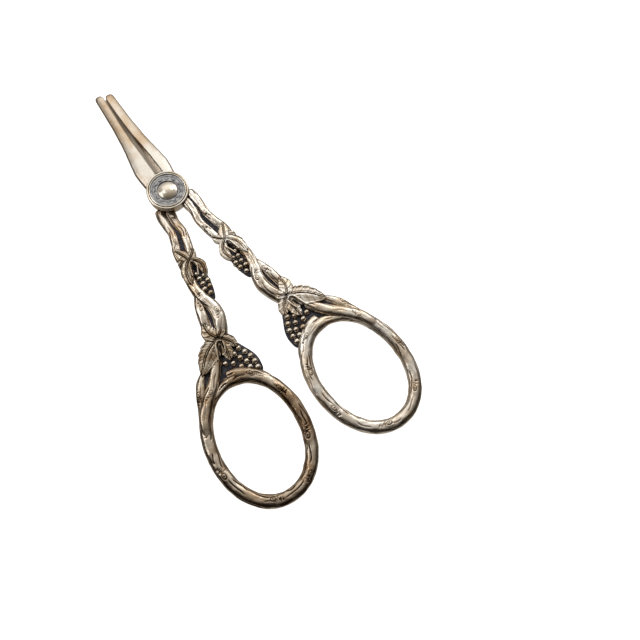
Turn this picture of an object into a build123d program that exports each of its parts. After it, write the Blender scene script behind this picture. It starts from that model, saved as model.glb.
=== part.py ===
from build123d import *

import math
import os

# Grape shears: two cast halves lapped on one pivot, with vine-branch shanks, leaves, grapes and oval bows.
#
# Millimetres. The origin is on the pivot axis, on the flat face of the pivot nut, where the shears rest.
# +Y runs to the jaw tips, +Z is up, and the halves are mirror images about the plane X = 0.
# The upper half is the left jaw with the right handle, and the lower half is the right jaw with the left handle.

# Driving dimensions
JAW_TIP_Y = 49.9            # pivot to the tip of the upper jaw
JAW_HALF_WIDTH = 7.0        # widest place of one jaw, near the pivot
BOSS_R = 7.9                # joint discs of both halves
BOW_CENTRE = (21.5, -95.65)  # centre of the right finger bow
BOW_HALF_LENGTH = 22.4      # bow centreline, half of the long way
BOW_HALF_WIDTH = 16.6       # bow centreline, half of the short way
BOW_END_R = 13.7            # radius of the two end arcs of the centreline
BOW_TILT = 6.0              # degrees; the top of each bow leans towards the middle
BOW_BAR_R = 2.5             # round bar that the bow is bent from

# Heights of the stack at the pivot
NUT_THICK = 1.65
DISC_THICK = 2.35           # joint disc of the lower half
UPPER_DISC_THICK = 1.75     # thinner, as the medallion sits on it
WASHER_THICK = 0.15
FACE_GAP = 0.05             # axial play on each face of the lower disc
LOWER_DISC_Z = NUT_THICK + FACE_GAP
LOWER_TOP_Z = LOWER_DISC_Z + DISC_THICK
UPPER_DISC_Z = LOWER_TOP_Z + FACE_GAP + WASHER_THICK
DISC_TOP_Z = UPPER_DISC_Z + UPPER_DISC_THICK
MID_Z = (LOWER_TOP_Z + UPPER_DISC_Z) / 2

# Pivot screw and what is stacked on it
SCREW_R = 2.0
RUNNING_GAP = 0.05          # radial play of the lower half on the screw
FIXED_GAP = 0.02            # radial play of the pieces that turn with the screw
DOME_R = 3.4
DOME_RISE = 0.85
FIELD_Z = DISC_TOP_Z + 0.45 # sunk field of the medallion ring
RIDGE_Z = DISC_TOP_Z + 0.85 # top of the ridge round it
MEDALLION_R = 7.05
RIDGE_INNER_R = 6.5
BEZEL_R = 7.46
BEZEL_WIRE_R = 0.4
NUT_R = 5.6
NUT_SLOT_W = 1.0
NUT_SLOT_DEPTH = 0.7
LAP_GAP = 0.2               # round the joint discs and between the jaws

# Jaws
JAW_ROOT_HALF_Z = 2.2       # half thickness of a jaw at the pivot
JAW_TIP_HALF_Z = 1.45
JAW_EDGE_R = 1.1
BLADE_THICK = 1.2
BLADE_REACH = 1.7           # how far the lower cutting blade passes under the upper jaw

# Vine work of one handle
ARM_FAR_Z = BOW_BAR_R + 0.1       # height of the middle of the handle at the bow
ARM_LEVEL_Y = -14.25              # the handle runs level from the pivot to here
ARM_FAR_Y = -68.25
WEB_THICK = 1.9
SMALL_GRAPE_R = 0.95
LARGE_GRAPE_R = 1.08
GRAPE_STAND = 0.1                 # centre of a grape above its web
LEAF_THICK = 1.35

JAW_OUTER = [(-6.3, 4.4), (-JAW_HALF_WIDTH, 10.0), (-5.7, 20.0), (-4.75, 32.0), (-4.3, 45.0)]
JAW_TIP = [(-4.3, 45.0), (-3.95, 48.4), (-2.4, JAW_TIP_Y), (-1.0, 49.3), (-0.6, 48.2)]
JAW_INNER_ROOT = (-0.1, 5.0)
LOWER_TIP_DROP = 1.2              # the lower jaw is this much shorter
STEP_LINE = [(0.2, 60.0), (0.25, 42.0), (0.5, 30.0), (1.75, 20.0), (1.9, 13.0), (1.3, 4.0)]

SHANK_WEB = [
    (3.9, -9.75), (4.0, -18.25), (4.9, -23.25), (4.8, -26.25), (5.0, -31.75), (11.4, -31.75), (11.0, -27.25),
    (10.0, -23.25), (8.6, -18.25), (7.4, -14.25), (7.4, -9.75),
]
SMALL_BUNCH = [
    (4.6, -31.75), (4.8, -35.25), (5.1, -38.45), (5.7, -41.65), (6.9, -44.45), (7.9, -44.95), (9.6, -43.25),
    (10.6, -40.25), (11.0, -36.25), (11.0, -31.75),
]
BOW_WEB = [
    (13.4, -56.25), (12.4, -61.25), (16.5, -64.25), (19.4, -68.45), (22.6, -72.85), (26.0, -75.75), (29.0, -77.25),
    (31.4, -75.75), (29.8, -71.75), (27.2, -68.75), (25.0, -64.75), (22.0, -60.05), (18.8, -57.25),
]
LARGE_BUNCH = [
    (12.4, -61.25), (9.9, -62.65), (8.6, -65.25), (7.3, -67.75), (6.6, -70.25), (6.5, -72.75), (7.0, -76.05),
    (9.0, -76.85), (13.0, -75.25), (20.0, -73.05), (22.6, -72.85), (19.4, -68.45), (16.5, -64.25),
]
SMALL_LEAF = [
    (4.0, -26.45), (6.8, -25.85), (6.9, -23.05), (8.3, -22.85), (9.9, -21.35), (11.1, -23.25), (11.7, -26.25),
    (12.6, -28.75), (13.0, -32.25), (12.5, -36.25), (11.0, -35.45), (9.8, -34.15), (9.0, -34.25), (7.9, -32.05),
    (6.6, -34.45), (5.3, -33.85), (4.2, -31.75), (3.6, -29.25),
]
LARGE_LEAF = [
    (10.0, -60.15), (12.6, -58.55), (12.0, -55.85), (12.6, -53.75), (14.4, -52.45), (16.6, -50.65), (18.4, -53.05),
    (19.7, -56.15), (22.9, -58.95), (24.8, -61.65), (25.8, -63.55), (26.6, -65.95), (24.2, -65.25), (23.2, -66.25),
    (21.6, -65.45), (20.4, -66.05), (18.5, -65.35), (17.4, -63.25), (16.7, -65.95), (15.8, -66.95), (14.3, -65.85),
    (12.0, -64.35), (9.9, -62.65),
]
SMALL_GRAPES = [
    (6.05, -35.75), (8.1, -34.95), (6.05, -37.85), (8.25, -37.35), (6.5, -40.25), (8.75, -39.95), (7.6, -42.45),
]
LARGE_GRAPES = [
    (10.2, -64.95), (12.9, -66.15), (8.8, -67.05), (11.5, -67.95), (14.6, -68.85), (16.7, -67.65),
    (8.0, -69.55), (10.2, -70.25), (12.7, -70.85), (7.9, -71.95), (10.4, -72.85), (8.3, -74.45),
]

# Branches as points (x, y) of their middle lines, with the radius of the round bar
INNER_STEM = [(3.3, -5.45), (3.5, -10.25), (3.6, -15.25), (4.5, -20.25), (6.6, -25.75)]
INNER_STEM_R = 1.25
OUTER_STEM = [(6.2, -3.45), (7.5, -9.25), (7.6, -15.25), (9.1, -20.75), (10.2, -26.25)]
OUTER_STEM_R = 1.2
TWIST_STEM = [(10.9, -32.25), (11.6, -39.25), (10.5, -44.75), (9.8, -49.75), (11.2, -55.25), (14.5, -60.75)]
TWIST_STEM_R = 2.2
SIDE_STEM = [(12.0, -40.75), (13.7, -45.25), (15.3, -50.25), (17.6, -56.25)]
SIDE_STEM_R = 1.65
BOW_BRANCH = [(17.6, -62.75), (22.4, -69.05), (27.2, -74.85), (31.6, -79.65)]
BOW_BRANCH_R = 2.15
STUB_BRANCH = [(28.6, -68.85), (31.2, -74.05), (34.0, -80.05)]
STUB_BRANCH_R = 1.75
STEM_CLEAR = 0.15           # between a stem and the other half's joint disc

os.makedirs("parts", exist_ok=True)


def save(shape, name):
    export_step(shape, f"parts/{name}.step")


def arm_z(y):
    """Height of the middle of a handle, which sinks from the pivot to the bow."""
    share = (ARM_LEVEL_Y - y) / (ARM_LEVEL_Y - ARM_FAR_Y)
    return MID_Z + (ARM_FAR_Z - MID_Z) * min(1.0, max(0.0, share))


def cylinder(radius, low, high):
    return Pos(0, 0, low) * Cylinder(radius, high - low, align=(Align.CENTER, Align.CENTER, Align.MIN))


def plate(points, low, high):
    outline = make_face(Polyline(*points, close=True))
    return extrude(Pos(0, 0, low) * outline, high - low)


def corner_radii(points):
    """As large an arc at each corner as its two runs allow."""
    radii = []
    for before, here, after in zip(points, points[1:], points[2:]):
        run_in, run_out = Vector(*here) - Vector(*before), Vector(*after) - Vector(*here)
        half_turn = math.radians(run_in.get_angle(run_out)) / 2
        radii.append(0.45 * min(run_in.length, run_out.length) / math.tan(half_turn))
    return radii


def round_bar(points, radius):
    path = FilletPolyline(*points, radius=corner_radii(points))
    section = Plane(origin=path @ 0, z_dir=path % 0) * Circle(radius)
    return sweep(section, path=path)


def stem_points(points, first_z=None):
    """A branch's middle line in space. first_z is its height where it leaves the joint disc."""
    line = [(x, y, arm_z(y)) for x, y in points]
    if first_z is not None:
        line[0] = (*points[0], first_z)
        line[1] = (*points[1], 0.6 * first_z + 0.4 * line[1][2])
    return line


# Pivot

def pivot_screw():
    shank = cylinder(SCREW_R, 0, FIELD_Z)
    sphere_r = (DOME_R**2 + DOME_RISE**2) / (2 * DOME_RISE)
    dome = Pos(0, 0, FIELD_Z + DOME_RISE - sphere_r) * Sphere(sphere_r)
    return shank + (dome & cylinder(DOME_R, FIELD_Z, FIELD_Z + 2 * DOME_RISE))


def medallion_ring():
    ring = cylinder(MEDALLION_R, DISC_TOP_Z, RIDGE_Z) - cylinder(SCREW_R + FIXED_GAP, 0, RIDGE_Z + 1)
    ring -= cylinder(RIDGE_INNER_R, FIELD_Z, RIDGE_Z + 1)
    crest = ring.edges().filter_by(GeomType.CIRCLE).group_by(Axis.Z)[-1]
    return chamfer(crest, 0.15)


def boss_bezel():
    return Pos(0, 0, DISC_TOP_Z + BEZEL_WIRE_R) * Torus(BEZEL_R, BEZEL_WIRE_R)


def pivot_washer():
    hole = cylinder(SCREW_R + FIXED_GAP, 0, DISC_TOP_Z)
    return cylinder(BOSS_R - 1.5, UPPER_DISC_Z - WASHER_THICK, UPPER_DISC_Z) - hole


def pivot_nut():
    nut = cylinder(NUT_R, 0, NUT_THICK)
    nut = chamfer(nut.edges().group_by(Axis.Z)[0], 0.4)
    nut -= cylinder(SCREW_R, -1, NUT_THICK + 1)
    for side in (-1, 1):
        nut -= Pos(side * NUT_R, 0, 0) * Box(2 * (NUT_R - SCREW_R - 1.0), NUT_SLOT_W, 2 * NUT_SLOT_DEPTH)
    return nut


# Jaws

def jaw_outline():
    """Plan of the upper jaw, a face in the plane Z = 0."""
    outer = Spline(*JAW_OUTER)
    tip = Spline(*JAW_TIP, tangents=[(0.02, 1), (0, -1)])
    edges = [outer, tip, Line(JAW_TIP[-1], JAW_INNER_ROOT), Line(JAW_INNER_ROOT, JAW_OUTER[0])]
    return make_face(Wire(edges))


def jaw_body():
    """The upper jaw's outer form, thinner towards the tip, before the lap and the step are cut."""
    body = extrude(jaw_outline(), 2 * MID_Z)
    side = [(0, -JAW_ROOT_HALF_Z), (0, JAW_ROOT_HALF_Z), (50, JAW_TIP_HALF_Z), (50, -JAW_TIP_HALF_Z)]
    profile = make_face(Polyline(*side, close=True))
    taper = extrude(Plane((0, 0, MID_Z), x_dir=(0, 1, 0), z_dir=(1, 0, 0)) * profile, 20, both=True)
    body = body & taper
    outer_edges = [e for e in body.edges() if e.length > 30 and e.center().X < -3.5]
    return fillet(outer_edges, JAW_EDGE_R)


def upper_jaw():
    jaw = jaw_body() - cylinder(BOSS_R + LAP_GAP, 0, UPPER_DISC_Z)
    under = Box(2 * (BLADE_REACH + LAP_GAP), 140, 2 * UPPER_DISC_Z)
    jaw -= cylinder(BOSS_R, DISC_TOP_Z, 2 * DISC_TOP_Z)
    jaw = jaw - under + cylinder(BOSS_R, UPPER_DISC_Z, DISC_TOP_Z)
    return jaw - cylinder(SCREW_R + FIXED_GAP, 0, 2 * DISC_TOP_Z)


def step_cut():
    """What is cut from the top of the lower jaw, back to its step line."""
    step = Spline(*STEP_LINE[1:])
    far = -12.0
    face = make_face(Wire([
        step, Line(STEP_LINE[-1], (far, STEP_LINE[-1][1])), Line((far, STEP_LINE[-1][1]), (far, 60.0)),
        Line((far, 60.0), STEP_LINE[0]), Line(STEP_LINE[0], STEP_LINE[1]),
    ]))
    return extrude(Pos(0, 0, LOWER_TOP_Z) * face, 10)


def lower_jaw():
    shorter = (JAW_TIP_Y - LOWER_TIP_DROP) / JAW_TIP_Y
    jaw = scale(mirror(jaw_body(), Plane.YZ), by=(1, shorter, 1))
    jaw -= cylinder(BOSS_R + LAP_GAP, LOWER_TOP_Z, 2 * DISC_TOP_Z)
    jaw -= step_cut()
    jaw -= blade_solid()
    jaw += cylinder(BOSS_R, LOWER_DISC_Z, LOWER_TOP_Z)
    return jaw - cylinder(SCREW_R + RUNNING_GAP, 0, DISC_TOP_Z)


def blade_solid():
    """The steel cutting blade, let into the lower jaw and reaching under the upper one."""
    points = [
        (3.0, 9.5), (-BLADE_REACH, 9.5), (-BLADE_REACH, 44.5), (-0.6, 47.3), (1.6, 47.3), (2.6, 35.0),
        (3.4, 20.0),
    ]
    return plate(points, LOWER_TOP_Z - BLADE_THICK, LOWER_TOP_Z)


# Handles

def bunch(outline, centres, grape_r, web_z):
    """Grapes cast on both faces of a thin backing."""
    half = WEB_THICK / 2
    solid = plate(outline, web_z - half, web_z + half)
    for x, y in centres:
        for side in (-1, 1):
            solid += Pos(x, y, web_z + side * (half + GRAPE_STAND)) * Sphere(grape_r)
    return solid


def bow():
    """A closed oval of four tangent arcs, each a piece of a torus."""
    side_r = (BOW_HALF_LENGTH**2 - 2 * BOW_HALF_LENGTH * BOW_END_R + BOW_HALF_WIDTH**2)
    side_r /= 2 * (BOW_HALF_WIDTH - BOW_END_R)
    end_y = BOW_HALF_LENGTH - BOW_END_R
    side_x = side_r - BOW_HALF_WIDTH
    end_half = math.degrees(math.atan2(side_x, end_y))
    arcs = [
        ((0, end_y), BOW_END_R, 90, end_half),
        ((-side_x, 0), side_r, 0, 90 - end_half),
        ((0, -end_y), BOW_END_R, -90, end_half),
        ((side_x, 0), side_r, 180, 90 - end_half),
    ]
    ring = None
    for (x, y), radius, middle, half in arcs:
        start = Plane.XZ * Pos(radius, 0) * Circle(BOW_BAR_R)
        piece = revolve(start, Axis.Z, 2 * half)
        piece = Pos(x, y, BOW_BAR_R) * Rot(0, 0, middle - half) * piece
        ring = piece if ring is None else ring + piece
    return Pos(*BOW_CENTRE, 0) * Rot(0, 0, BOW_TILT) * ring


def handle(first_z):
    """All pieces of the right handle. first_z is the height of the stems where they leave the disc."""
    shank_z, bow_z = arm_z(-32.25), arm_z(-64.25)
    half_web = WEB_THICK / 2
    pieces = {"bow": bow()}
    for size, outline, middle in (("small", SMALL_LEAF, shank_z), ("large", LARGE_LEAF, bow_z)):
        pieces[f"{size}_leaf_front"] = plate(outline, middle + half_web, middle + half_web + LEAF_THICK)
        pieces[f"{size}_leaf_back"] = plate(outline, middle - half_web - LEAF_THICK, middle - half_web)
    pieces |= {
        "twist_stem": round_bar(stem_points(TWIST_STEM), TWIST_STEM_R),
        "bow_branch": round_bar(stem_points(BOW_BRANCH), BOW_BRANCH_R),
        "stub_branch": round_bar(stem_points(STUB_BRANCH), STUB_BRANCH_R),
        "side_stem": round_bar(stem_points(SIDE_STEM), SIDE_STEM_R),
        "inner_stem": round_bar(stem_points(INNER_STEM, first_z), INNER_STEM_R),
        "outer_stem": round_bar(stem_points(OUTER_STEM, first_z), OUTER_STEM_R),
        "small_grapes": bunch(SMALL_BUNCH, SMALL_GRAPES, SMALL_GRAPE_R, shank_z),
        "large_grapes": bunch(LARGE_BUNCH, LARGE_GRAPES, LARGE_GRAPE_R, bow_z),
        "shank_web": plate(SHANK_WEB, shank_z - half_web, shank_z + half_web),
        "bow_web": plate(BOW_WEB, bow_z - half_web, bow_z + half_web),
    }
    return fitted(pieces)


def fitted(pieces):
    """Cut every piece back to the ones before it, so that soldered faces meet and nothing overlaps."""
    done = {}
    for name, piece in pieces.items():
        if name in ("inner_stem", "outer_stem"):
            piece -= cylinder(BOSS_R, 0, 2 * DISC_TOP_Z)
        for other in done.values():
            if touching(piece, other):
                piece -= other
        done[name] = piece.solids().sort_by(SortBy.VOLUME)[-1]
    return done


def touching(piece, other):
    a, b = piece.bounding_box(), other.bounding_box()
    return all((
        a.min.X < b.max.X and b.min.X < a.max.X,
        a.min.Y < b.max.Y and b.min.Y < a.max.Y,
        a.min.Z < b.max.Z and b.min.Z < a.max.Z,
    ))


stem_rise = max(INNER_STEM_R, OUTER_STEM_R) + STEM_CLEAR
for name, piece in handle(LOWER_TOP_Z + stem_rise).items():
    save(piece, f"right_{name}")
for name, piece in handle(UPPER_DISC_Z - stem_rise).items():
    save(mirror(piece, Plane.YZ), f"left_{name}")

save(upper_jaw(), "upper_jaw")
save(lower_jaw(), "lower_jaw")
save(blade_solid(), "cutting_blade")
save(pivot_screw(), "pivot_screw")
save(medallion_ring(), "medallion_ring")
save(boss_bezel(), "boss_bezel")
save(pivot_washer(), "pivot_washer")
save(pivot_nut(), "pivot_nut")
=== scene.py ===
import bpy
import bmesh
import math
import random
from mathutils import Matrix, Vector, noise
from mathutils.bvhtree import BVHTree


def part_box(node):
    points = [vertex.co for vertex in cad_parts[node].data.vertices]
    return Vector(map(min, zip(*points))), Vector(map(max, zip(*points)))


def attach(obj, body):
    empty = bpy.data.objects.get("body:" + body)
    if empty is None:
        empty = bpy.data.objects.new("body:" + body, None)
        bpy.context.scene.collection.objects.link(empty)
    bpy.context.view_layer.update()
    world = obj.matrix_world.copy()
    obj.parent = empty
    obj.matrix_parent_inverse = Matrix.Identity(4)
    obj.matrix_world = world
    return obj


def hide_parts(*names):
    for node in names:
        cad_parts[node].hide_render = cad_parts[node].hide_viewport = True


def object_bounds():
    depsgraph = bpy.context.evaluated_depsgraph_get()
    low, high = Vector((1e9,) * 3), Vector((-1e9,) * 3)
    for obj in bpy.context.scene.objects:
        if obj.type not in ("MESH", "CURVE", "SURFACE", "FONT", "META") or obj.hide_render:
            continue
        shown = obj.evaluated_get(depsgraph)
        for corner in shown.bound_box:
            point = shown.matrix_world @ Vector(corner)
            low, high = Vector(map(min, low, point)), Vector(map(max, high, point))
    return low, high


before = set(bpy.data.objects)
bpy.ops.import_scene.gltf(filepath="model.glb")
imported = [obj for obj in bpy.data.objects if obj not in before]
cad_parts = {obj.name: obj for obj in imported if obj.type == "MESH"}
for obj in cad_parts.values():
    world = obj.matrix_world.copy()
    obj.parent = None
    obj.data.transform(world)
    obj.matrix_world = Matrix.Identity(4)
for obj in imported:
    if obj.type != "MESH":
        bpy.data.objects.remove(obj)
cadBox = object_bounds()
mm = 0.001


def nodeBox(node):
    low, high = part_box(node)
    return Vector(low) / mm, Vector(high) / mm


# Heights and places that the frame gives, all in millimetres.
upperHigh = nodeBox("upper_jaw")[1]
lowerHigh = nodeBox("lower_jaw")[1]
washerLow, washerHigh = nodeBox("pivot_washer")
shankLow, shankHigh = nodeBox("right_shank_web")
bowWebLow, bowWebHigh = nodeBox("right_bow_web")
bowLow, bowHigh = nodeBox("right_bow")
bezelLow, bezelHigh = nodeBox("boss_bezel")
ringLow, ringHigh = nodeBox("medallion_ring")
bladeHigh = nodeBox("cutting_blade")[1]
lapZ = (washerLow.z + washerHigh.z) / 2  # between the two halves
discTop = ringLow.z
discBottom = nodeBox("pivot_nut")[1].z + 0.05
shankZ = (shankLow.z + shankHigh.z) / 2
bowWebZ = (bowWebLow.z + bowWebHigh.z) / 2
discR = upperHigh.x
bodyOf = {1: "upper_half", -1: "lower_half"}
sideName = {1: "right", -1: "left"}


def hexColour(text, alpha=1.0):
    parts = [int(text[i:i + 2], 16) / 255 for i in (1, 3, 5)]
    linear = [c / 12.92 if c <= 0.04045 else ((c + 0.055) / 1.055) ** 2.4 for c in parts]
    return (*linear, alpha)


# links maps an input's name or number to the socket or value that it gets; stops are a colour ramp's.
def addNode(tree, kind, links=None, stops=(), **settings):
    node = tree.nodes.new(kind)
    for key, value in settings.items():
        setattr(node, key, value)
    for key, value in (links or {}).items():
        if isinstance(value, bpy.types.NodeSocket):
            tree.links.new(value, node.inputs[key])
        else:
            node.inputs[key].default_value = value
    for index, (at, colour) in enumerate(stops):
        stop = node.color_ramp.elements[index] if index < 2 else node.color_ramp.elements.new(at)
        stop.position = at
        stop.color = colour
    return node


# Silver plate on nickel alloy: a warm white metal that goes straw yellow, then brown, and blue-black in the hollows.
# cloud is the width of a tarnish patch in millimetres, and oxide is how strongly the hollows darken.
silverLooks = {
    "handPolishedSilverPlate": dict(bright="#e2dbd0", warm="#c4aa8b", cloud=12.0, rough=(0.27, 0.33), bump=0.02,
                                    oxide=0.5),
    "wornCastSilverPlate": dict(bright="#efe8dd", warm="#c4ae94", cloud=8.0, rough=(0.17, 0.3), bump=0.12, oxide=1.0),
    # A darker copy of the cast silver: painted shade on the left bow and its branches.
    "shadedCastSilverPlate": dict(bright="#ddd1bf", warm="#a0866a", cloud=8.0, rough=(0.17, 0.3), bump=0.12,
                                     oxide=1.15),
    # A lighter copy of the cast silver: painted light on the right bow and its branches.
    "litCastSilverPlate": dict(bright="#fbf7f0", warm="#dccab3", cloud=10.0, rough=(0.24, 0.38), bump=0.12,
                                  oxide=0.8),
    # Lit and shaded copies of the chased leaf silver: painted light on the right leaves, painted shade on the left
    # leaves.
    "litChasedLeafSilver": dict(bright="#f9f4ec", warm="#d6c4ac", cloud=5.0, rough=(0.22, 0.36), bump=0.1, oxide=0.85),
    "shadedChasedLeafSilver": dict(bright="#cfc4b2", warm="#978065", cloud=5.0, rough=(0.2, 0.34), bump=0.1, oxide=1.1),
    "burnishedGrapeSilver": dict(bright="#ebe3d5", warm="#bfa88c", cloud=4.0, rough=(0.16, 0.3), bump=0.05,
                                 oxide=1.1),
    "struckMedallionSilver": dict(bright="#f2ede4", warm="#d6c8b2", cloud=6.0, rough=(0.17, 0.28), bump=0.03,
                                  oxide=0.7),
}


def silver(name, look):
    material = bpy.data.materials.new(name)
    material.use_nodes = True
    tree = material.node_tree
    shader = tree.nodes["Principled BSDF"]
    place = addNode(tree, "ShaderNodeTexCoord").outputs["Object"]
    cloud = addNode(tree, "ShaderNodeTexNoise", {"Vector": place, "Scale": 1000 / look["cloud"], "Detail": 4.0,
                                                 "Roughness": 0.55})
    grain = addNode(tree, "ShaderNodeTexNoise", {"Vector": place, "Scale": 1000 / 0.7, "Detail": 3.0})
    oxide = addNode(tree, "ShaderNodeAttribute", attribute_name="oxide").outputs["Fac"]
    # Uneven tarnish: cloud-sized patches from white metal to straw brown.
    patch = addNode(tree, "ShaderNodeValToRGB", {0: cloud.outputs["Fac"]},
                    [(0.36, hexColour(look["warm"])), (0.62, hexColour(look["bright"]))])
    worn = addNode(tree, "ShaderNodeMath", {0: grain.outputs["Fac"], 1: 0.22, 2: -0.11}, operation="MULTIPLY_ADD")
    scaled = addNode(tree, "ShaderNodeMath", {0: oxide, 1: look["oxide"], 2: worn.outputs[0]},
                     operation="MULTIPLY_ADD")
    # Straw and brown tarnish at the edge of each hollow, blue-black oxide in the bottom of it.
    tint = addNode(tree, "ShaderNodeValToRGB", {0: scaled.outputs[0]}, [
        (0.12, hexColour("#ffffff")), (0.78, hexColour("#2a2b32")), (0.34, hexColour("#b3a392")),
        (0.54, hexColour("#675b50")),
    ])
    colour = addNode(tree, "ShaderNodeMix", {"Factor": 1.0, "A": patch.outputs[0], "B": tint.outputs[0]},
                     data_type="RGBA", blend_type="MULTIPLY")
    tree.links.new(colour.outputs["Result"], shader.inputs["Base Color"])
    smoothness = addNode(tree, "ShaderNodeMapRange", {"Value": grain.outputs["Fac"], "From Min": 0.3, "From Max": 0.7,
                                                      "To Min": look["rough"][0], "To Max": look["rough"][1]})
    dull = addNode(tree, "ShaderNodeMath", {0: scaled.outputs[0], 1: 0.35, 2: smoothness.outputs[0]},
                   operation="MULTIPLY_ADD", use_clamp=True)
    tree.links.new(dull.outputs[0], shader.inputs["Roughness"])
    metal = addNode(tree, "ShaderNodeMapRange", {"Value": scaled.outputs[0], "From Min": 0.5, "From Max": 0.9,
                                                 "To Min": 1.0, "To Max": 0.55})
    tree.links.new(metal.outputs[0], shader.inputs["Metallic"])
    bump = addNode(tree, "ShaderNodeBump", {"Height": grain.outputs["Fac"], "Strength": look["bump"],
                                            "Distance": 0.12 * mm})
    tree.links.new(bump.outputs[0], shader.inputs["Normal"])
    return material


# A turned or ground metal: fine grain, stretched along one axis where lines says so.
def plainMetal(name, base, dirt, rough, grainMm, lines=None):
    material = bpy.data.materials.new(name)
    material.use_nodes = True
    tree = material.node_tree
    shader = tree.nodes["Principled BSDF"]
    place = addNode(tree, "ShaderNodeTexCoord").outputs["Object"]
    stretched = addNode(tree, "ShaderNodeMapping", {"Vector": place, "Scale": lines or (1, 1, 1)})
    grain = addNode(tree, "ShaderNodeTexNoise", {"Vector": stretched.outputs[0], "Scale": 1000 / grainMm,
                                                 "Detail": 4.0})
    tone = addNode(tree, "ShaderNodeValToRGB", {0: grain.outputs["Fac"]},
                   [(0.3, hexColour(dirt)), (0.62, hexColour(base))])
    tree.links.new(tone.outputs[0], shader.inputs["Base Color"])
    shine = addNode(tree, "ShaderNodeMapRange", {"Value": grain.outputs["Fac"], "To Min": rough + 0.12,
                                                 "To Max": rough - 0.05})
    tree.links.new(shine.outputs[0], shader.inputs["Roughness"])
    bump = addNode(tree, "ShaderNodeBump", {"Height": grain.outputs["Fac"], "Strength": 0.12, "Distance": 0.08 * mm})
    tree.links.new(bump.outputs[0], shader.inputs["Normal"])
    shader.inputs["Metallic"].default_value = 1.0
    return material


metals = {name: silver(name, look) for name, look in silverLooks.items()}
# Silver blackened with sulphide and left unpolished: nearly black behind the vine, rubbed grey in the medallion.
metals["oxidisedGround"] = plainMetal("oxidisedGround", "#4c4c53", "#232329", 0.45, 0.6)
metals["oxidisedField"] = plainMetal("oxidisedField", "#b4b3b2", "#77777b", 0.33, 1.4)
# Steel ground along the blade, lathe-turned plated nut, and brass gone dull.
metals["groundSteel"] = plainMetal("groundSteel", "#8f8579", "#5d544a", 0.3, 1.2, (1, 0.08, 1))
metals["turnedNutSilver"] = plainMetal("turnedNutSilver", "#cfc5b4", "#8f8371", 0.28, 0.9)
metals["dullBrass"] = plainMetal("dullBrass", "#a88a52", "#6b5632", 0.4, 0.8)
print("materials made")


# Shapes are worked out in millimetres, and made metres when a piece is finished.
made = []


# A grid over u and v from 0 to 1, carried to place(u, v).
def sheet(uSteps, vSteps, place, join=False, fill=False):
    form = bmesh.new()
    cut = form.verts.layers.float.new("cut")  # how deep in an engraved line each point is
    bmesh.ops.create_grid(form, x_segments=uSteps, y_segments=vSteps, size=0.5)
    for vert in form.verts:
        vert.co, vert[cut] = place(vert.co.x + 0.5, vert.co.y + 0.5)
    if join:
        bmesh.ops.remove_doubles(form, verts=form.verts, dist=1e-4)
    if fill:
        rim = [e for e in form.edges if e.is_boundary]
        bmesh.ops.holes_fill(form, edges=rim, sides=0)
    bmesh.ops.dissolve_degenerate(form, dist=1e-5, edges=form.edges)
    bmesh.ops.recalc_face_normals(form, faces=form.faces)
    if form.calc_volume(signed=True) < 0:
        bmesh.ops.reverse_faces(form, faces=form.faces)
    return form


def joined(forms):
    whole = bmesh.new()
    whole.verts.layers.float.new("cut")
    for form in forms:
        part = bpy.data.meshes.new("part")
        form.to_mesh(part)
        whole.from_mesh(part)
        form.free()
        bpy.data.meshes.remove(part)
    return whole


# Finishes a form as an object. The left half is the right half's mirror image.
def piece(name, form, side, materials, body, nodes, sharp=50):
    if side < 0:
        bmesh.ops.transform(form, matrix=Matrix.Diagonal((-1, 1, 1, 1)), verts=form.verts)
        bmesh.ops.reverse_faces(form, faces=form.faces)
    bmesh.ops.scale(form, vec=(mm, mm, mm), verts=form.verts)
    mesh = bpy.data.meshes.new(name)
    form.to_mesh(mesh)
    form.free()
    mesh.shade_smooth()
    mesh.set_sharp_from_angle(angle=math.radians(sharp))
    for each in materials:
        mesh.materials.append(metals[each])
    thing = bpy.data.objects.new(name, mesh)
    bpy.context.scene.collection.objects.link(thing)
    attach(thing, body)
    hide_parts(*nodes)
    made.append(thing)


def handlePiece(name, form, side, materials, node):
    half = sideName[side]
    piece(f"{half}{name}", form, side, materials, bodyOf[side], [f"{half}_{node}"])


# A Catmull-Rom line through points of any length, at t from 0 to 1.
def smoothLine(points, t):
    spans = len(points) - 1
    at = min(t * spans, spans - 1e-6)
    i = int(at)
    f = at - i
    p1, p2 = points[i], points[i + 1]
    p0 = points[i - 1] if i else [2 * a - b for a, b in zip(p1, p2)]
    p3 = points[i + 2] if i + 2 <= spans else [2 * b - a for a, b in zip(p1, p2)]
    return [0.5 * (2 * b + (c - a) * f + (2 * a - 5 * b + 4 * c - d) * f * f + (3 * b - a - 3 * c + d) * f ** 3)
            for a, b, c, d in zip(p0, p1, p2, p3)]


# The same line at even steps, with its whole length.
def evenLine(points, count=240):
    dense = [smoothLine(points, i / 900) for i in range(901)]
    travelled = [0.0]
    for a, b in zip(dense, dense[1:]):
        travelled.append(travelled[-1] + math.dist(a[:3], b[:3]))
    whole = travelled[-1]
    steps, j = [], 0
    for i in range(count + 1):
        want = whole * i / count
        while j < 899 and travelled[j + 1] < want:
            j += 1
        f = (want - travelled[j]) / max(1e-9, travelled[j + 1] - travelled[j])
        steps.append([a + (b - a) * min(1, max(0, f)) for a, b in zip(dense[j], dense[j + 1])])
    return steps, whole


def bell(x, width):
    return math.exp(-(x / width) ** 2)


def blendStep(low, high, x):
    t = min(1.0, max(0.0, (x - low) / (high - low)))
    return t * t * (3 - 2 * t)


# The middle height of a handle, level near the pivot and sinking to the bow.
def armZ(y):
    slope = (bowWebZ - shankZ) / (-64.25 + 32.25)
    return shankZ + slope * (min(-14.25, max(-68.25, y)) + 32.25)


barkLook = dict(
    lumpMm=0.08,        # soft unevenness of the whole bar
    strokeMm=0.26,      # depth of the long cut lines
    strokeWide=0.25,
    strokeRun=(4.0, 11.0),
    strokeGap=(1.0, 6.0),
    knotMm=0.5,
    wrinkleMm=0.36,
)


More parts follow.
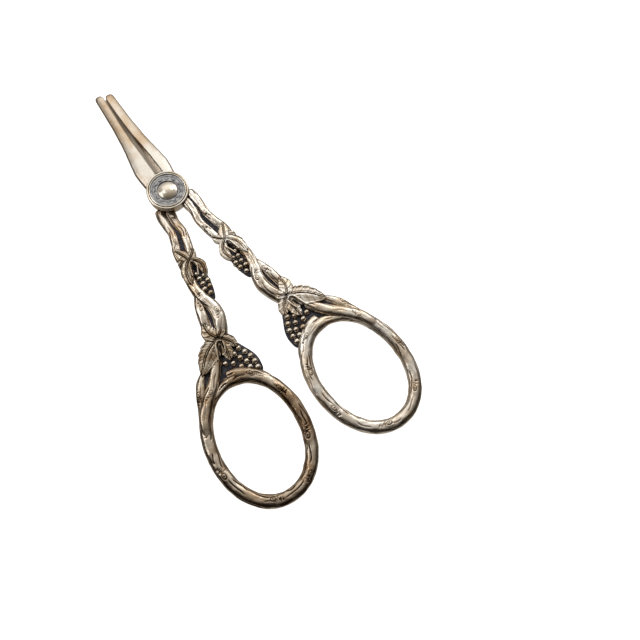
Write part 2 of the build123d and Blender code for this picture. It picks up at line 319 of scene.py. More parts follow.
# Long cut lines in rows round a bar, each as (start, run, angle, drift, depth).
def strokesFor(length, seed, tracks=8):
    pick = random.Random(round(seed * 100))
    strokes = []
    for track in range(tracks):
        at = pick.uniform(-6, 1)
        while at < length:
            run = pick.uniform(*barkLook["strokeRun"])
            angle = 2 * math.pi * (track + pick.uniform(-0.3, 0.3)) / tracks
            strokes.append((at, run, angle, pick.uniform(-0.4, 0.4), pick.uniform(0.35, 1.0)))
            at += run + pick.uniform(*barkLook["strokeGap"])
    return strokes


def turned(angle):
    return (angle + math.pi) % (2 * math.pi) - math.pi


# How far the bark stands out at a place on a bar, and how deep in a cut line that is.
def bark(along, angle, radius, seed, knots, strokes):
    cx, cy = math.cos(angle), math.sin(angle)
    lump = noise.noise((cx * 1.1 + seed, cy * 1.1, along * 0.3))
    dent = noise.noise((cx * 2.6, cy * 2.6 + seed, along * 0.7))
    out, cut = barkLook["lumpMm"] * (2 * lump + 0.6 * dent), 0.0
    for start, run, at, drift, depth in strokes:
        t = (along - start) / run
        if not 0 < t < 1:
            continue
        across = turned(angle - at - drift * (t - 0.5) - 0.1 * math.sin(6 * t + start)) * radius
        if abs(across) < 0.8:
            line = bell(across, barkLook["strokeWide"]) * min(1, 5 * t, 5 * (1 - t)) * depth
            out -= barkLook["strokeMm"] * line
            cut = max(cut, line)
    # A knot is (along, angle in degrees, size, side that its wrinkles are on).
    for at, turn, size, wrinkles in knots:
        ds = along - at
        if abs(ds) > 7 * size:
            continue
        across = turned(angle - math.radians(turn)) * radius
        q = math.sqrt((ds / 1.5) ** 2 + across ** 2) / size
        ring, hole = bell(q - 0.8, 0.2), bell(q, 0.28)
        cleared = 1 - bell(q, 1.3)
        cut *= cleared
        out = out * cleared + barkLook["knotMm"] * size * (bell(q, 1.0) - 0.6 * ring - 0.9 * hole)
        cut = max(cut, 0.65 * ring, 0.9 * hole)
        for step in range(4):
            ridge = ds - wrinkles * size * (1.75 + 0.7 * step) - 0.25 * across * (step % 2)
            mark = bell(ridge, 0.17 * size) * bell(across - 0.2 * step, (1.2 - 0.15 * step) * size)
            out -= barkLook["wrinkleMm"] * mark
            cut = max(cut, 0.9 * mark)
    return out, cut


# A bark-covered bar through points (x, y, z, radius). ends gives how round each end is, in radii.
def barkBar(points, seed, knots=(), strength=1.0, flat=0.96, steps=None, around=72, closed=False, ends=(0.7, 0.7),
            square=2.4):
    line, whole = evenLine(points)
    last = len(line) - 1
    steps = steps or int(whole / 0.26)
    strokes = strokesFor(whole, seed)

    def place(u, v):
        at = u * last
        i = min(last - 1, int(at))
        f = at - i
        here = [a + (b - a) * f for a, b in zip(line[i], line[i + 1])]
        if closed:
            before, after = line[(i - 1) % last], line[(i + 2) % last]
        else:
            before, after = line[max(0, i - 1)], line[min(last, i + 2)]
        run = Vector(after[:3]) - Vector(before[:3])
        run.normalize()
        side = run.cross(Vector((0, 0, 1))).normalized()
        up = side.cross(run)
        angle = 2 * math.pi * v
        along = u * whole
        radius = here[3]
        shrink = 1.0
        if not closed:
            for distance, rounding in ((along, ends[0]), (whole - along, ends[1])):
                reach = max(1e-3, rounding * radius)
                if distance < reach:
                    shrink *= math.sqrt(max(0.0, 1 - (1 - distance / reach) ** 2))
        fade = strength * blendStep(0, 2.5 if closed else 1.2, min(along, whole - along))
        out, cut = bark(along, angle, radius, seed, knots, strokes) if fade else (0.0, 0.0)
        radius += out * fade
        # The section is between round and square, with a broad top.
        cx, cy = math.cos(angle), math.sin(angle)
        swell = (abs(cx) ** square + abs(cy) ** square) ** (-1 / square)
        return Vector(here[:3]) + (side * cx + up * cy * flat) * radius * shrink * swell, cut * fade

    return sheet(steps, around, place, join=True)


# Stems of one handle: (x, y, radius) down the middle of the bar, and knots as (along, degrees, size, wrinkle side).
stemLooks = {
    "innerStem": dict(
        node="inner_stem", seed=1.3, rise=0.0,
        points=[(3.2, -5.55, 2.05), (3.85, -8.75, 1.98), (4.05, -11.75, 1.66), (3.6, -16.25, 1.54),
                (4.3, -19.75, 1.57), (5.1, -23.25, 1.57), (6.2, -26.65, 1.52)],
        knots={1: [(14, 95, 0.55, 1)], -1: [(6, 80, 0.5, -1)]}),
    "outerStem": dict(
        node="outer_stem", seed=4.7, rise=0.05,
        points=[(6.2, -3.25, 2.05), (7.05, -6.85, 2.02), (7.5, -11.0, 1.6), (7.6, -15.25, 1.52), (8.6, -19.25, 1.57),
                (9.9, -22.85, 1.57), (10.4, -26.65, 1.57)],
        knots={1: [(11.5, 70, 0.55, 1)], -1: [(16, 85, 0.6, 1)]}),
    "twistStem": dict(
        node="twist_stem", seed=8.2, rise=0.35, sink=(1.1, -53.5, -58.9),
        points=[(9.6, -29.25, 1.82), (11.3, -34.25, 1.97), (11.6, -38.75, 2.02), (11.0, -42.75, 2.22),
                (9.9, -46.75, 2.42), (9.9, -50.75, 2.52), (11.3, -54.85, 2.47), (13.6, -58.85, 2.32)],
        knots={1: [(8.5, 80, 0.62, -1), (18.5, 75, 0.8, -1)], -1: [(11, 95, 0.6, 1), (20.5, 80, 0.75, 1)]}),
    "sideStem": dict(
        node="side_stem", seed=2.9, rise=0.0, sink=(0.9, -49, -55.3),
        points=[(11.6, -39.85, 1.55), (13.2, -43.05, 1.7), (14.4, -46.65, 1.9), (15.2, -50.25, 2.05),
                (16.4, -55.25, 2.05)],
        knots={1: [(5.6, 85, 0.7, 1)], -1: [(6.6, 80, 0.65, -1)]}),
    "bowBranch": dict(
        node="bow_branch", seed=6.1, rise=0.75, sink=(1.1, -82, -91),
        points=[(18.6, -63.85, 2), (21.6, -67.85, 2.05), (25.0, -71.55, 2.1), (28.6, -74.85, 2.2), (32.2, -78.55, 2.3),
                (34.6, -82.45, 2.1), (36.1, -86.65, 1.75), (36.9, -91.0, 1.1)],
        knots={1: [(20.5, 85, 0.7, -1)], -1: [(13, 80, 0.7, 1)]}),
    "stubBranch": dict(
        node="stub_branch", seed=9.4, rise=0.1, sink=(0.5, -73, -84),
        points=[(25.2, -65.65, 1.0), (28.1, -68.55, 1.6), (30.0, -71.85, 1.9), (31.9, -75.75, 1.8),
                (33.9, -79.95, 1.75), (35.7, -84.25, 1.6), (37.0, -88.45, 1.3)],
        knots={1: [(7.6, 120, 0.85, 1)], -1: [(8.4, 115, 0.85, 1)]}),
}


rootStems = ("innerStem", "outerStem")
bowStems = ("bowBranch", "stubBranch")
bowSilver = {1: "litCastSilverPlate", -1: "shadedCastSilverPlate"}  # the right bow and its branches get painted light, the left ones painted shade


def makeStem(name, side):
    look = stemLooks[name]
    points = []
    for x, y, radius in look["points"]:
        deep, sinkFrom, sinkTo = look.get("sink", (0, 0, -1))
        z = armZ(y) + look["rise"] * blendStep(0, 2.5, len(points)) - deep * blendStep(sinkFrom, sinkTo, y)
        if name in rootStems:
            # The stems leave their own half's disc, which lies above or below the lap.
            leave = discTop + 0.1 - radius if side > 0 else lapZ - 0.32 - radius
            z += (leave - z) * blendStep(-17.25, -5.25, y)
        points.append((x, y, z, radius))
    form = barkBar(points, look["seed"] + side, look["knots"][side], strength=0.8)
    if name in rootStems:
        # Cut back to the disc, and flattened where the other half turns past.
        for vert in form.verts:
            reach = math.hypot(vert.co.x, vert.co.y)
            if reach < discR + 0.45:
                limit = lapZ + side * 0.16
                vert.co.z = max(limit, vert.co.z) if side > 0 else min(limit, vert.co.z)
            top = discTop - 0.12 if side > 0 else lapZ - 0.16
            near = 1.2 * max(0, reach - discR - 0.1)
            if reach < discR + 0.6:
                vert.co.z = min(vert.co.z, top + near)
            if side < 0:
                vert.co.z = max(vert.co.z, discBottom - 0.1 - near, 0.1)
            if reach < discR - 0.5:
                vert.co.xy *= (discR - 0.5) / reach
    material = bowSilver[side] if name in bowStems else "wornCastSilverPlate"
    handlePiece(name[0].upper() + name[1:], form, side, [material], look["node"])


bowLook = dict(
    tilt=6.0,          # degrees; the top of the bow leans to the middle
    fullness=2.08,     # 2 is an ellipse
    bar=2.42,
    seed={1: 3.3, -1: 12.8},
    knots={
        1: [(10, 70, 0.95, -1), (25, 110, 0.75, 1), (44, 80, 0.8, -1), (61, 75, 0.9, 1), (82, 95, 0.85, -1),
            (97, 80, 0.8, 1)],
        -1: [(13, 80, 0.85, 1), (31, 95, 0.9, -1), (50, 75, 0.85, 1), (66, 100, 0.75, -1), (79, 75, 0.95, 1),
             (99, 85, 0.8, -1)],
    },
)


def makeBow(side):
    middle = (bowLow + bowHigh) / 2
    lean = math.radians(bowLook["tilt"])
    halfX = (bowHigh.x - bowLow.x) / 2 - 2.56
    halfY = (bowHigh.y - bowLow.y) / 2 - 2.45
    points = []
    for i in range(73):
        turn = math.radians(70) - 2 * math.pi * i / 72
        power = 2 / bowLook["fullness"]
        x = halfX * math.copysign(abs(math.cos(turn)) ** power, math.cos(turn))
        y = halfY * math.copysign(abs(math.sin(turn)) ** power, math.sin(turn))
        x, y = x * math.cos(lean) - y * math.sin(lean), x * math.sin(lean) + y * math.cos(lean)
        # The bar thins on its outer side where the branch crosses over its end.
        thin = 0.85 * bell(((math.degrees(turn) - 70 + 180) % 360 - 180), 17)
        inward = 1 - thin / math.hypot(x, y)
        points.append((middle.x + x * inward, middle.y + y * inward, bowLook["bar"] + 0.1, bowLook["bar"] - thin))
    ring = barkBar(points, bowLook["seed"][side], bowLook["knots"][side], steps=460, around=88, closed=True, square=2.15)
    # The bow's own end, a twig cut off beside the branch.
    end = barkBar([(6.4, -83.75, 2.45, 1.7), (8.7, -78.85, 2.5, 2.25), (12.2, -74.95, 2.55, 2.45),
                   (16.2, -72.45, 2.6, 2.35), (19.6, -71.45, 2.6, 1.95)], 5.5 + side, [(10.5, 90, 0.8, -1)],
                  ends=(0.9, 0.25))
    handlePiece("Bow", joined([ring, end]), side, [bowSilver[side]], "bow")


# Leaves. Each lobe is (base, bend, tip, half width, height, teeth, how far its rib is off the middle).
leafLooks = {
    "small": dict(
        ground=0.3, veins=0.4,
        lobes=[
            ((7.7, -27.9), (11.6, -30.6), (11.8, -37.0), 2.35, 2.6, 3, -0.3),
            ((7.5, -27.9), (3.2, -30.9), (5.9, -35.9), 1.75, 2.2, 3, 0.2),
            ((7.8, -27.6), (8.8, -25.0), (10.4, -21.5), 2.0, 2.15, 3, 0),
            ((7.9, -27.8), (10.4, -26.4), (12.1, -28.4), 1.5, 2.05, 2, 0),
            ((7.4, -27.6), (5.6, -26.6), (4.1, -24.3), 1.45, 2.1, 2, 0),
        ],
        curls=[
            ([(6.9, -29.6), (7.6, -28.9), (8.7, -29.9), (9.3, -31.9), (9.9, -34.3)], 0.32, 2.75, 0),
            ([(6.7, -29.4), (6.3, -31.0), (7.1, -33.0), (7.9, -34.8)], 0.3, 2.5, 0),
            ([(7.7, -30.3), (8.0, -31.1), (8.4, -32.2)], 0.25, 2.4, 1),
        ]),
    "large": dict(
        ground=0.3, veins=0.8,
        lobes=[
            ((14.7, -58.6), (19.7, -60.7), (26.3, -67.0), 3.8, 2.35, 6, -1.0),
            ((14.8, -58.0), (17.3, -55.3), (15.9, -51.0), 2.6, 2.75, 4, 0),
            ((14.4, -58.0), (12.2, -57.2), (10.9, -54.0), 1.7, 2.65, 3, 0),
            ((14.5, -58.7), (10.9, -60.4), (10.5, -64.7), 2.1, 2.1, 4, 0),
            ((14.9, -59.4), (13.7, -63.6), (15.3, -67.6), 2.25, 2.4, 4, 0),
        ],
        curls=[
            ([(13.9, -60.3), (15.2, -59.4), (16.7, -60.4), (17.6, -62.8), (18.9, -65.8)], 0.38, 2.75, 0),
            ([(13.8, -60.2), (14.0, -62.0), (15.2, -64.6)], 0.34, 2.65, 0),
            ([(15.3, -61.0), (15.9, -62.3), (16.6, -64.0)], 0.3, 2.45, 1),
        ]),
}


# One lobe of a vine leaf: crowned, with a toothed raised edge, a midrib, and veins that run out to the teeth.
def lobe(base, bend, tip, half, crest, teeth, rib, ground, veins):
    base, bend, tip = Vector(base), Vector(bend), Vector(tip)
    length = (tip - base).length * 1.1

    def place(u, v):
        t = min(0.999, max(0.001, u))
        middle = base * (1 - t) ** 2 + bend * 2 * t * (1 - t) + tip * t * t
        run = ((bend - base) * (1 - t) + (tip - bend) * t).normalized()
        out = Vector((run.y, -run.x))
        w = (v - 0.5) * 2 * 1.22
        inside = max(-1.0, min(1.0, w))
        saw = (t * teeth + 0.25) % 1
        width = half * (0.22 + 0.78 * math.sin(math.pi * min(1, t * 0.98) ** 0.82) ** 0.75)
        width *= 1 + 0.13 * (saw - 0.5) * blendStep(0.15, 0.3, t)
        width *= math.sqrt(max(0.0, 1 - t ** 9))
        across = inside * width
        height = crest * (0.84 + 0.16 * math.cos(inside * math.pi / 2)) - 0.25 * t
        offRib = abs(across - rib * math.sin(math.pi * t))
        height += 0.24 * bell(offRib, 0.19)                  # midrib
        cut = bell(offRib - 0.42, 0.13)                      # a line cut beside it
        vein = (t * teeth + 0.35 - offRib / length * teeth * 0.75) % 1
        height += 0.09 * veins * bell(vein - 0.5, 0.16) * blendStep(0.25, 0.6, offRib)
        hollow = veins * bell((vein + 0.3) % 1 - 0.5, 0.13) * blendStep(0.35, 0.7, offRib)
        cut = max(0.75 * cut, 0.4 * hollow) * (1 - blendStep(0.8, 1.0, abs(inside)))
        height -= 0.17 * cut
        height += 0.32 * bell(abs(inside) - 0.9, 0.1)        # raised edge
        drop = blendStep(1.0, 1.2, abs(w))
        height = height * (1 - drop) + ground * drop
        spot = middle + out * across * (1 + 0.02 * drop)
        return Vector((spot.x, spot.y, height)), cut

    return sheet(max(30, int(length / 0.16)), max(26, int(half * 2 / 0.13)), place, fill=True)


# A raised rolled edge, or where dark is 1 the oxidised bottom of the hollow inside it.
def curl(points, radius, height, dark):
    form = barkBar([(x, y, height, radius * (1.1 if 0 < i < len(points) - 1 else 0.8))
                    for i, (x, y) in enumerate(points)], 1.0, strength=0.0, flat=0.9, steps=40, around=12)
    cut = form.verts.layers.float["cut"]
    for vert in form.verts:
        vert[cut] = dark
    return form


# face is 1 for the front of the shears and -1 for the back.
def makeLeaf(size, face, side):
    look = leafLooks[size]
    middleZ = shankZ if size == "small" else bowWebZ
    parts = [lobe(*values, look["ground"], look["veins"]) for values in look["lobes"]]
    parts += [curl(*values) for values in look["curls"]]
    form = joined(parts)
    for vert in form.verts:
        vert.co.z = middleZ + vert.co.z * (1 if face > 0 else -0.7)  # the back is flatter
    if face < 0:
        bmesh.ops.reverse_faces(form, faces=form.faces)
    faceName = "Front" if face > 0 else "Back"
    # The right leaves get the lighter silver and the left leaves the darker one: painted light and painted shade.
    material = "litChasedLeafSilver" if side > 0 else "shadedChasedLeafSilver"
    handlePiece(f"{size.capitalize()}Leaf{faceName}", form, side, [material],
                f"{size}_leaf_{faceName.lower()}")


# Grape bunches: the outline of the sunk ground behind them, and the grapes row by row.
bunchLooks = {
    "small": dict(
        node="small_grapes", grape=1.06,
        outline=[(4.7, -31.25), (4.9, -34.85), (5.2, -38.25), (5.8, -41.25), (6.9, -44.25), (7.9, -45.05),
                 (9.4, -44.45), (10.4, -41.75), (11.2, -36.25), (11.4, -31.75)],
        grapes=[(8.5, -33.55), (6.2, -35.45), (8.3, -35.65), (6.0, -37.65), (8.2, -37.95), (6.5, -39.95), (8.7, -40.15),
                (7.6, -42.35)]),
    "large": dict(
        node="large_grapes", grape=1.18,
        outline=[(12.4, -61.25), (9.8, -62.85), (8.3, -65.65), (7.0, -68.45), (6.3, -71.25), (6.4, -73.85),
                 (7.0, -76.15), (8.8, -77.05), (12.6, -75.25), (17.0, -73.85), (20.4, -71.85), (19.6, -68.05),
                 (16.5, -64.25)],
        grapes=[(10.4, -65.15), (12.9, -66.15), (17.3, -67.45), (9.2, -67.45), (11.8, -68.45), (14.9, -68.85),
                (8.3, -69.85), (10.5, -70.75), (13.1, -71.35), (8.1, -72.25), (10.5, -73.15), (8.3, -74.65)]),
}


# A flat plate with a smooth outline and softened edges.
def plate(outline, low, high, soften=0.15):
    form = bmesh.new()
    closed = outline + outline[:1]
    corners = [smoothLine(closed, i / (len(outline) * 5)) for i in range(len(outline) * 5)]
    rim = [form.verts.new((x, y, low)) for x, y in corners]
    bottom = form.faces.new(rim)
    grown = bmesh.ops.extrude_face_region(form, geom=[bottom])
    bmesh.ops.translate(form, vec=(0, 0, high - low),
                        verts=[g for g in grown["geom"] if isinstance(g, bmesh.types.BMVert)])
    level = [e for e in form.edges if abs(e.verts[0].co.z - e.verts[1].co.z) < 1e-6 and e.is_manifold
             and e.calc_face_angle(0) > 1]
    bmesh.ops.bevel(form, geom=level, offset=soften, affect="EDGES", segments=2, profile=0.5, material=-1)
    bmesh.ops.recalc_face_normals(form, faces=form.faces)
    return form


def makeBunch(size, side):
    look = bunchLooks[size]
    middleZ = shankZ if size == "small" else bowWebZ
    parts = [plate(look["outline"], middleZ - 0.45, middleZ + 0.45)]
    for face in parts[0].faces:
        face.material_index = 1
    for face in (1, -1):
        for index, (x, y) in enumerate(look["grapes"]):
            grape = bmesh.new()
            radius = look["grape"] * (1 + 0.06 * math.sin(index * 2.4 + side))
            bmesh.ops.create_uvsphere(grape, u_segments=22, v_segments=14, radius=radius)
            bmesh.ops.translate(grape, vec=(x, y, middleZ + face * 0.62), verts=grape.verts)
            parts.append(grape)
    handlePiece(f"{size.capitalize()}Grapes", joined(parts), side, ["burnishedGrapeSilver", "oxidisedGround"],
                look["node"])


# Sunk grounds that join the stems, left dark.
groundLooks = {
    "shankGround": dict(
        node="shank_web", half=0.35,
        outline=[(4.0, -7.65), (3.9, -12.25), (3.8, -17.25), (4.8, -22.25), (5.0, -27.25), (4.8, -32.25),
                 (11.4, -32.25), (11.0, -27.25), (10.0, -22.25), (8.2, -17.25), (7.5, -12.25), (7.4, -7.65)]),
    "bowGround": dict(
        node="bow_web", half=0.5,
        outline=[(10.6, -39.25), (10.4, -44.25), (10.2, -50.25), (11.4, -56.25), (12.4, -61.25), (16.5, -64.25),
                 (18.4, -68.05), (21.4, -72.45), (26.0, -75.45), (30.6, -77.25), (32.0, -75.25), (29.8, -71.75),
                 (27.0, -68.25), (25.0, -64.75), (22.0, -60.05), (17.8, -56.25), (15.6, -49.25), (13.6, -43.25),
                 (12.2, -39.75)]),
}


def makeGround(name, side):
    look = groundLooks[name]
    middleZ = shankZ if name == "shankGround" else bowWebZ
    form = plate(look["outline"], middleZ - look["half"], middleZ + look["half"], 0.1)
    bmesh.ops.triangulate(form, faces=[f for f in form.faces if len(f.verts) > 4])
    if name == "shankGround":
        bmesh.ops.subdivide_edges(form, edges=form.edges, cuts=3)
        for vert in form.verts:
            leave = lapZ + side * 1.4
            shift = armZ(vert.co.y) - middleZ
            vert.co.z += shift + (leave - armZ(vert.co.y)) * blendStep(-17.25, -5.25, vert.co.y)
    else:
        bmesh.ops.subdivide_edges(form, edges=form.edges, cuts=2)
        for vert in form.verts:
            vert.co.z += armZ(vert.co.y) - middleZ
    handlePiece(name[0].upper() + name[1:], form, side, ["oxidisedGround"], look["node"])


for side in (1, -1):
    for name in stemLooks:
        makeStem(name, side)
    makeBow(side)
    for size in leafLooks:
        makeLeaf(size, 1, side)
        makeLeaf(size, -1, side)
        makeBunch(size, side)
    for name in groundLooks:
        makeGround(name, side)
print("handles made")


# Jaws. Plan of the right jaw, as (y, x). The left jaw is its mirror image, a little longer.
jawLook = dict(
    outer=[(4.4, 6.2), (7.0, 6.5), (10.0, 6.8), (12.5, 6.9), (16.3, 6.4), (19.7, 5.85), (23.0, 5.3), (27.0, 4.8),
           (35.5, 4.1), (43.6, 3.75), (50.0, 3.55)],
    stepLine=[(4.0, 2.6), (8.8, 2.4), (15.3, 2.05), (21.8, 1.5), (27.7, 0.8), (33.5, 0.45), (40.7, 0.25),
              (50.0, 0.2)],
    inner=[(4.0, 0.1), (8.7, 0.3), (17.5, 0.5), (27.0, 0.8), (35.0, 0.75), (42.7, 0.5), (48.0, 0.3)],
    rootHalf=2.2, tipHalf=1.4,             # half thickness
    bevel=0.28,                            # narrow ground strip along the inner edge
    tipRound=1.7,
)


def atY(table, y):
    for (y0, x0), (y1, x1) in zip(table, table[1:]):
        if y <= y1:
            f = max(0.0, (y - y0) / (y1 - y0))
            f = f * f * (3 - 2 * f) * 0.35 + f * 0.65
            return x0 + (x1 - x0) * f
    return table[-1][1]


# Corners of the section, as (across from the inner edge, height over the middle), inner edge first.
def jawSection(width, half):
    bevel = jawLook["bevel"]
    crown = [(bevel + (width - bevel) * math.sin(a), half * (0.96 * math.cos(a) ** 0.7 if a < 1.5707 else 0.0))
             for a in [math.radians(d) for d in (0, 12, 24, 36, 47, 57, 66, 74, 81, 86, 90)]]
    top = [(0, half * 0.82)] + crown
    low = [(x, -z) for x, z in reversed(crown[:-1])] + [(0, -half * 0.8)]
    return top + low


# side 1 is the right, lower jaw, whose top is stepped back from the cutting blade; -1 is the left, upper jaw.
def makeJaw(side):
    stepped = side > 0
    tipY = (lowerHigh.y if stepped else upperHigh.y) - 0.05
    ledgeZ = bladeHigh.z

    def edges(y):
        inner = atY(jawLook["inner"], y)
        return (atY(jawLook["stepLine"], y) if stepped else inner), inner, atY(jawLook["outer"], y)

    count = len(jawSection(6, 2))

    def place(u, v):
        at = v * count
        i = int(min(count - 1e-6, at))
        f = at - i
        # Start on the arc round the disc, and end on the rounded tip.
        y = 20.0
        for _ in range(12):
            step, inner, outer = edges(y)
            half = jawLook["rootHalf"] + (jawLook["tipHalf"] - jawLook["rootHalf"]) * max(0, y) / 50
            corners = jawSection(outer - step, half)
            a, b = corners[i % count], corners[(i + 1) % count]
            across, height = a[0] + (b[0] - a[0]) * f, a[1] + (b[1] - a[1]) * f
            x = step + across
            if stepped and height < ledgeZ - lapZ:
                share = across / (outer - step)
                x = inner + share * (outer - inner)
            z = lapZ + height
            ownDisc = (z > lapZ) != stepped
            root = discR - 0.5 if ownDisc else discR + 0.2
            startY = math.sqrt(max(0.5, root ** 2 - min(x, root - 0.3) ** 2))
            middle = (inner + outer) / 2
            reach = (outer - inner) / 2
            bend = min(1.0, abs(x - middle) / reach)
            endY = tipY - jawLook["tipRound"] * (1 - math.sqrt(1 - bend ** 2.8))
            y = startY + (endY - startY) * u
        # The tip is thinned to a rounded nose.
        nose = max(0.0, 1 - (1 - u) * (tipY - 8) / 2.0)
        thin = math.sqrt(max(0.0, 1 - nose ** 2.2 * 0.9))
        # The step face beside the blade gets half a cut line's darkening: painted shade for the dark reflection there.
        ledge = stepped and across < 0.01 and abs(height + 0.1) < 0.75
        return Vector((x, y, lapZ + (z - lapZ) * thin)), 0.5 if ledge else 0.0

    body = sheet(220, count * 3, place, join=True, fill=True)
    # The disc of this half, lapped with the other one.
    low, high, wide = (discBottom, lapZ - 0.13, discR - 0.35) if stepped else (lapZ + 0.1, discTop + 0.2, discR)
    deep = (high - low) / 2
    edge = [(wide - deep * 0.4 * (1 - math.cos(a)), low + deep + deep * math.sin(a))
            for a in [math.radians(d) for d in range(-80, 81, 16)]]
    disc = lathe([(2.1, low)] + edge + [(2.1, high)], 160)
    form = joined([body, disc])
    if not stepped:
        bmesh.ops.transform(form, matrix=Matrix.Diagonal((-1, 1, 1, 1)), verts=form.verts)
        bmesh.ops.reverse_faces(form, faces=form.faces)
    level = "lower" if stepped else "upper"
    piece(f"{level}JawBody", form, 1, ["handPolishedSilverPlate"], f"{level}_half", [f"{level}_jaw"],
          sharp=32)


# Turns a closed profile of (radius, z) about the pivot axis.
def lathe(profile, steps):
    form = bmesh.new()
    rim = [form.verts.new((r, 0, z)) for r, z in profile]
    lines = [form.edges.new(pair) for pair in zip(rim, rim[1:] + rim[:1])]
    bmesh.ops.spin(form, geom=rim + lines, cent=(0, 0, 0), axis=(0, 0, 1), angle=2 * math.pi, steps=steps,
                   use_merge=True)
    bmesh.ops.remove_doubles(form, verts=form.verts, dist=1e-4)
    bmesh.ops.recalc_face_normals(form, faces=form.faces)
    return form


makeJaw(1)
makeJaw(-1)
print("jaws made")

# The medallion: a bright double rim round a sunk, oxidised field with a low running border.
medallionLook = dict(sprigs=26, sprigLong=1.6, sprigWide=0.45, sprigHigh=0.36, domeRing=3.62)


def makeMedallion():
    top, low, outer = ringHigh.z, ringLow.z, ringHigh.x
    field = top - 0.42
    look = medallionLook
    inner = look["domeRing"]
    profile = [(2.1, low), (outer - 0.1, low), (outer - 0.1, top - 0.3), (outer - 0.16, top - 0.09),
               (outer - 0.27, top - 0.02), (outer - 0.48, top - 0.02), (outer - 0.62, top - 0.12), (outer - 0.72, field),
               (outer - 1.2, field - 0.02), (outer - 1.3, field + 0.12), (outer - 1.42, field + 0.12),
               (outer - 1.52, field - 0.04), (inner + 0.36, field - 0.04), (inner + 0.28, field + 0.14),
               (inner + 0.12, field + 0.2), (inner - 0.04, field + 0.1), (inner - 0.12, field - 0.12),
               (2.1, field - 0.12)]
    ring = lathe(profile, 160)
    for face in ring.faces:
        reach = math.hypot(*face.calc_center_median().xy)
        if inner - 0.1 < reach < outer - 0.55:
            face.material_index = 1
    parts = [ring]
    middle = (outer - 1.5 + inner + 0.36) / 2
    for i in range(look["sprigs"]):
        turn = Matrix.Rotation(2 * math.pi * i / look["sprigs"], 4, "Z")
        sprig = bmesh.new()
        bmesh.ops.create_uvsphere(sprig, u_segments=14, v_segments=8, radius=0.5)
        long = look["sprigLong"] * (1 if i % 2 else 0.7)
        bmesh.ops.scale(sprig, vec=(long, look["sprigWide"], look["sprigHigh"]), verts=sprig.verts)
        lean = Matrix.Rotation(math.radians(58 if i % 2 else -35), 4, "Z")
        bmesh.ops.transform(sprig, matrix=turn @ Matrix.Translation((middle, 0, field)) @ lean, verts=sprig.verts)
        for face in sprig.faces:
            face.material_index = 1
        parts.append(sprig)
    piece("medallionRing", joined(parts), 1, ["struckMedallionSilver", "oxidisedField"], "upper_half",
          ["medallion_ring"])

    # The bezel is a bead with a broad top and a straight outer side.
    halfHigh, halfWide = (bezelHigh.z - bezelLow.z) / 2 + 0.1, 0.4
    bead = [(bezelHigh.x - halfWide + halfWide * math.copysign(abs(math.cos(a)) ** 0.7, math.cos(a)),
             bezelHigh.z - halfHigh + halfHigh * math.copysign(abs(math.sin(a)) ** 0.7, math.sin(a)))
            for a in [2 * math.pi * (i + 0.5) / 24 for i in range(24)]]
    piece("bossBezel", lathe(bead, 180), 1, ["struckMedallionSilver"], "upper_half",
          ["boss_bezel"])


makeMedallion()
print("medallion made")

# CAD nodes whose shape is right keep it, and get their own finish.
for node, material in (("pivot_screw", "struckMedallionSilver"), ("pivot_nut", "turnedNutSilver"),
                       ("pivot_washer", "dullBrass"), ("cutting_blade", "groundSteel")):
    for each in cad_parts[node].material_slots:
        each.link = "OBJECT"
        each.material = metals[material]


# Oxide settles where little light and no thumb reaches: each point feels how closed in it is.
oxideLook = dict(reachMm=2.2, rays=16, floor=0.25, lines=0.9)


def settleOxide():
    whole = bmesh.new()
    for thing in made:
        whole.from_mesh(thing.data)
    tree = BVHTree.FromBMesh(whole)
    whole.free()
    rays = []
    for i in range(oxideLook["rays"]):
        rise = 1 - (i + 0.5) / oxideLook["rays"] * 0.92
        turn = i * 2.399963
        flat = math.sqrt(1 - rise * rise)
        rays.append(Vector((flat * math.cos(turn), flat * math.sin(turn), rise)))
    reach = oxideLook["reachMm"] * mm
    for thing in made:
        mesh = thing.data
        layer = mesh.attributes.new("oxide", "FLOAT", "POINT")
        values = []
        cuts = mesh.attributes["cut"].data if "cut" in mesh.attributes else None
        for vert in mesh.vertices:
            normal = vert.normal
            turn = Vector((0, 0, 1)).rotation_difference(normal)
            start = vert.co + normal * 0.04 * mm
            closed = 0.0
            for ray in rays:
                hit = tree.ray_cast(start, turn @ ray, reach)
                if hit[3] is not None:
                    closed += 1 - (hit[3] / reach) ** 1.5
            held = max(0.0, closed / len(rays) - oxideLook["floor"]) / (1 - oxideLook["floor"])
            line = min(1.0, cuts[vert.index].value) * oxideLook["lines"] if cuts else 0.0
            values.append(1 - (1 - held) * (1 - line))
        layer.data.foreach_set("value", values)


settleOxide()
print("oxide settled")


# Stage, light and camera. bright is the direction of the light end of the room.
stageLook = dict(
    floorMm=1600, bright=(0.35, 0.6, 0.72), table="#b3ada4",
    # Each light is (place, target, size, watts).
    lights={
        "windowLeft": ((-300, 140, 300), (0, -40, 0), (240, 200), 0.24),
        "ceilingSoftbox": ((70, 270, 320), (0, 0, 0), (340, 240), 0.14),
        "windowRight": ((330, 120, 230), (0, -40, 0), (240, 140), 0.19),
        "lampLeft": ((-110, 130, 330), (0, -60, 0), (60, 40), 0.055),
        "lampRight": ((190, 120, 300), (0, -60, 0), (60, 40), 0.045),
    },
    camera=dict(stand=(-31.24, -123.88, 246.6), target=(19.88, -72.45, 2.8), lens=39.375, sensor=36.0, roll=10.94),
)


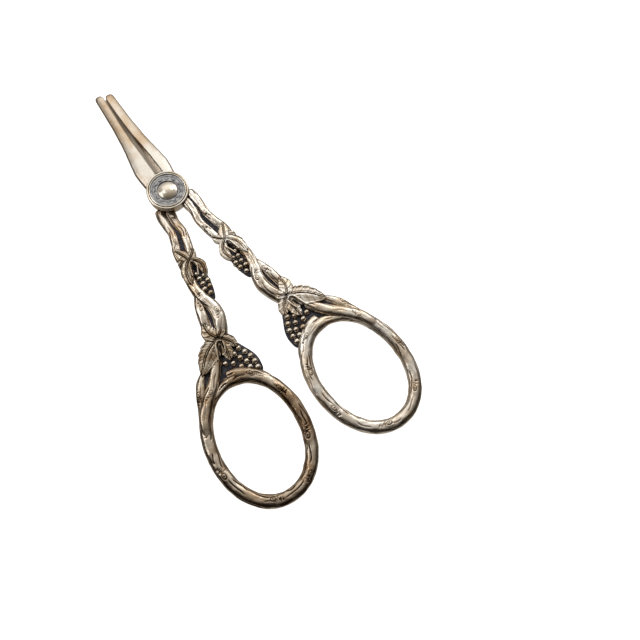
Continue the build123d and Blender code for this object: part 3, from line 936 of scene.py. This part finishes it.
def makeStage():
    form = bmesh.new()
    bmesh.ops.create_grid(form, x_segments=1, y_segments=1, size=stageLook["floorMm"] / 2 * mm)
    mesh = bpy.data.meshes.new("floor")
    form.to_mesh(mesh)
    form.free()
    floor = bpy.data.objects.new("floor", mesh)
    floor.location.z = cadBox[0][2] - 0.05 * mm
    floor.visible_glossy = False
    bpy.context.scene.collection.objects.link(floor)
    material = bpy.data.materials.new("whitePaperSweep")
    material.use_nodes = True
    tree = material.node_tree
    shader = tree.nodes["Principled BSDF"]
    place = addNode(tree, "ShaderNodeTexCoord").outputs["Object"]
    mottle = addNode(tree, "ShaderNodeTexNoise", {"Vector": place, "Scale": 6.0})
    tone = addNode(tree, "ShaderNodeValToRGB", {0: mottle.outputs["Fac"]},
                   [(0.3, hexColour("#fdfdfd")), (0.7, hexColour("#ffffff"))])
    tree.links.new(tone.outputs[0], shader.inputs["Base Color"])
    shader.inputs["Roughness"].default_value = 0.9
    shader.inputs["Emission Color"].default_value = (1, 1, 1, 1)
    shader.inputs["Emission Strength"].default_value = 1.0
    mesh.materials.append(material)

    world = bpy.data.worlds.new("studio")
    bpy.context.scene.world = world
    world.use_nodes = True
    tree = world.node_tree
    background = tree.nodes["Background"]
    direction = addNode(tree, "ShaderNodeTexCoord").outputs["Generated"]
    # The room is light behind the shears and overhead, and dark behind the camera.
    toward = addNode(tree, "ShaderNodeVectorMath", {0: direction, 1: Vector(stageLook["bright"]).normalized()},
                     operation="DOT_PRODUCT")
    sky = addNode(tree, "ShaderNodeValToRGB", {0: toward.outputs["Value"]}, [
        (0.0, hexColour("#1c1815")), (0.95, hexColour("#f3f1ec")), (0.25, hexColour("#4d463e")),
        (0.5, hexColour("#8f8a84")), (0.72, hexColour("#bdb9b3")),
    ])
    height = addNode(tree, "ShaderNodeSeparateXYZ", {0: direction}).outputs["Z"]
    below = addNode(tree, "ShaderNodeMapRange", {"Value": height, "From Min": -0.15, "From Max": -0.6})
    room = addNode(tree, "ShaderNodeMix", {"Factor": below.outputs[0], "A": sky.outputs[0],
                                           "B": hexColour(stageLook["table"])}, data_type="RGBA")
    tree.links.new(room.outputs["Result"], background.inputs["Color"])
    background.inputs["Strength"].default_value = 0.9


def addLight(name, place, target, size, watts):
    data = bpy.data.lights.new(name, "AREA")
    data.shape = "RECTANGLE"
    data.size, data.size_y = size[0] * mm, size[1] * mm
    data.energy = watts
    light = bpy.data.objects.new(name, data)
    light.location = Vector(place) * mm
    light.rotation_euler = (Vector(target) - Vector(place)).to_track_quat("-Z", "Y").to_euler()
    bpy.context.scene.collection.objects.link(light)


def makeCamera(stand, target, lens, sensor, roll):
    data = bpy.data.cameras.new("camera")
    data.lens, data.sensor_width = lens, sensor
    camera = bpy.data.objects.new("camera", data)
    camera.location = Vector(stand) * mm
    look = (Vector(target) - Vector(stand)).to_track_quat("-Z", "Y").to_matrix().to_4x4()
    camera.rotation_euler = (look @ Matrix.Rotation(math.radians(roll), 4, "Z")).to_euler()
    bpy.context.scene.collection.objects.link(camera)
    bpy.context.scene.camera = camera


makeStage()
for name, light in stageLook["lights"].items():
    addLight(name, *light)
makeCamera(**stageLook["camera"])
bpy.context.scene.view_settings.view_transform = "Standard"
bpy.context.scene.view_settings.look = "None"
print("stage and camera set")
